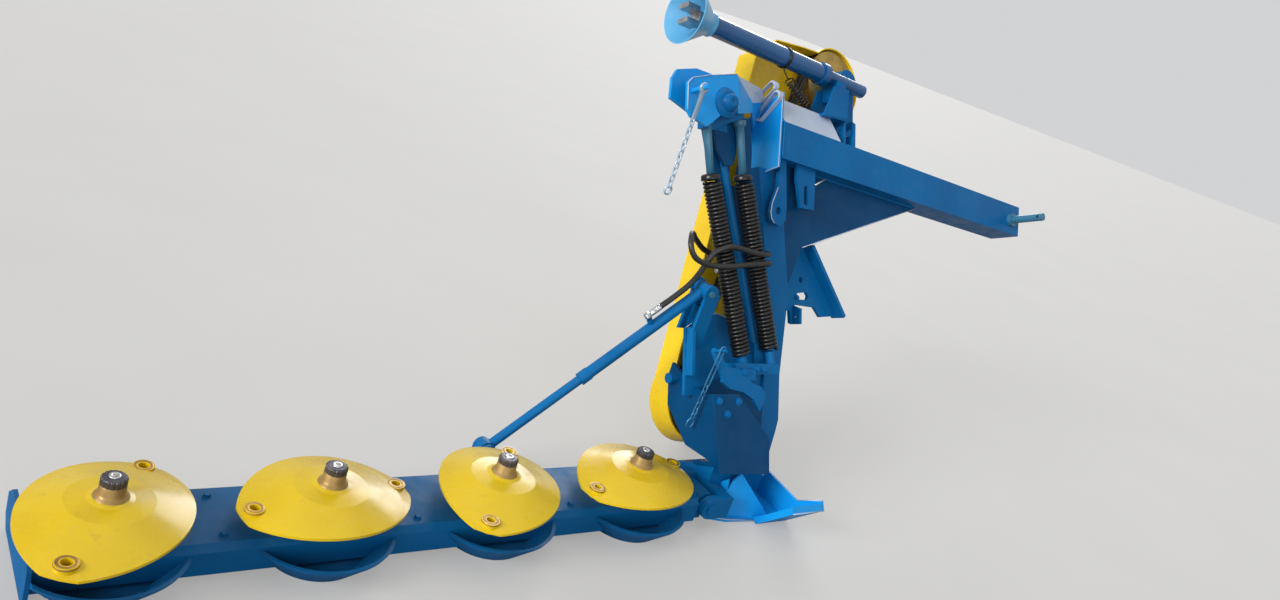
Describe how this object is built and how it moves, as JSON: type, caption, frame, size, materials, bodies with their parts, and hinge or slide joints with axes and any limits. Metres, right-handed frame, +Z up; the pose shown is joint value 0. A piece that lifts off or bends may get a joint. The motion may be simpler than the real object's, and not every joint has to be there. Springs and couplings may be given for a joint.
{
  "type": "disc mower",
  "caption": "Rear carried disc mower with oval discs on a low cutter bar, upright frame with balance springs, belt drive and hitch beam.",
  "frame": {"origin": "centre of the machine's bounding box on the floor it is parked on", "axes": "+X along the cutter bar toward the hitch end, +Y to the rear, +Z up"},
  "size_m": [3.2559, 1.0618, 1.3134],
  "materials": {
    "frame_paint": "satin",
    "disc_paint": "satin",
    "bare_steel": "satin",
    "spring_steel": "satin",
    "belt_rubber": "matte",
    "pulley_iron": "satin"
  },
  "bodies": {
    "frame": {"hinge_pin": "bare_steel", "gear_case": "frame_paint", "inner_shoe": "frame_paint", "lower_frame": "frame_paint", "pivot_pin": "bare_steel", "u_bracket": "frame_paint", "column": "frame_paint", "lift_bracket": "frame_paint", "column_head": "frame_paint", "head_pin": "frame_paint", "spring_yoke": "frame_paint", "tension_rods": "bare_steel", "spring_left": "spring_steel", "spring_right": "spring_steel", "spring_strut": "frame_paint", "spring_foot": "frame_paint", "beam_end_plate": "frame_paint", "hitch_beam": "frame_paint", "gusset": "frame_paint", "hitch_pin": "frame_paint", "top_bracket": "frame_paint", "lug_slot": "frame_paint", "lug_hole": "frame_paint", "rear_bracket": "frame_paint", "shaft_rest": "frame_paint", "rest_spring": "bare_steel", "drive_shaft_tube": "frame_paint", "drive_shaft_inner": "frame_paint", "shaft_collar": "frame_paint", "shaft_cone": "frame_paint", "shaft_yoke": "bare_steel", "handles": "frame_paint", "belt_guard": "disc_paint", "belts": "belt_rubber", "pulley_bearing": "frame_paint", "low_bearing": "frame_paint", "lift_pins": "bare_steel", "hose": "belt_rubber", "chain_top": "bare_steel", "chain_low": "bare_steel", "stand_socket": "frame_paint"},
    "bar": {"cutter_bar": "frame_paint", "bar_end_plate": "frame_paint", "skids": "frame_paint", "rod_pin": "bare_steel"},
    "rotor_1": {"rotor_1": "disc_paint"},
    "rotor_2": {"rotor_2": "disc_paint"},
    "rotor_3": {"rotor_3": "disc_paint"},
    "rotor_4": {"rotor_4": "disc_paint"},
    "top_pulley": {"top_pulley": "pulley_iron"},
    "low_pulley": {"low_pulley": "pulley_iron"},
    "lift_barrel": {"lift_barrel": "frame_paint", "hose_fitting": "bare_steel"},
    "lift_rod": {"lift_rod": "bare_steel"},
    "stand_leg": {"stand_leg": "bare_steel"}
  },
  "joints": [
    {"name": "bar_lift", "type": "hinge", "parent": "frame", "child": "bar", "pos_m": [-0.0109, -0.3449, 0.06], "axis": [0, 1, 0], "range_deg": [-8, 35]},
    {"name": "rotor_1_spin", "type": "hinge", "parent": "bar", "child": "rotor_1", "pos_m": [-0.2459, -0.3449, 0.14], "axis": [0, 0, 1], "continuous": true},
    {"name": "rotor_2_spin", "type": "hinge", "parent": "bar", "child": "rotor_2", "pos_m": [-0.6559, -0.3449, 0.14], "axis": [0, 0, 1], "continuous": true},
    {"name": "rotor_3_spin", "type": "hinge", "parent": "bar", "child": "rotor_3", "pos_m": [-1.0659, -0.3449, 0.14], "axis": [0, 0, 1], "continuous": true},
    {"name": "rotor_4_spin", "type": "hinge", "parent": "bar", "child": "rotor_4", "pos_m": [-1.4759, -0.3449, 0.14], "axis": [0, 0, 1], "continuous": true},
    {"name": "top_pulley_spin", "type": "hinge", "parent": "frame", "child": "top_pulley", "pos_m": [0.7361, 0.43646, 1.12829], "axis": [0, 0.8829, -0.4695], "continuous": true},
    {"name": "low_pulley_spin", "type": "hinge", "parent": "frame", "child": "low_pulley", "pos_m": [0.1421, -0.06258, 0.18972], "axis": [0, 0.8829, -0.4695], "continuous": true},
    {"name": "lift_cylinder_swing", "type": "hinge", "parent": "frame", "child": "lift_barrel", "pos_m": [-0.0029, -0.0949, 0.562], "axis": [0, 1, 0], "range_deg": [-12, 32], "deforming": ["hose"]},
    {"name": "lift_cylinder_slide", "type": "slide", "parent": "lift_barrel", "child": "lift_rod", "axis": [-0.7409, 0, -0.6716], "range_m": [-0.255, 0.06]},
    {"name": "stand_slide", "type": "slide", "parent": "frame", "child": "stand_leg", "axis": [0, 0, 1], "range_m": [0, 0.075]}
  ],
  "couplings": [
    {"joint": "rotor_2_spin", "follows": "rotor_1_spin", "ratio": -1},
    {"joint": "rotor_3_spin", "follows": "rotor_1_spin", "ratio": 1},
    {"joint": "rotor_4_spin", "follows": "rotor_1_spin", "ratio": -1},
    {"joint": "low_pulley_spin", "follows": "rotor_1_spin", "ratio": 0.286},
    {"joint": "top_pulley_spin", "follows": "rotor_1_spin", "ratio": 0.1726},
    {"joint": "lift_cylinder_swing", "follows": "bar_lift", "ratio": 0.545},
    {"joint": "lift_cylinder_slide", "follows": "bar_lift", "m_per_rad": -0.4046}
  ]
}
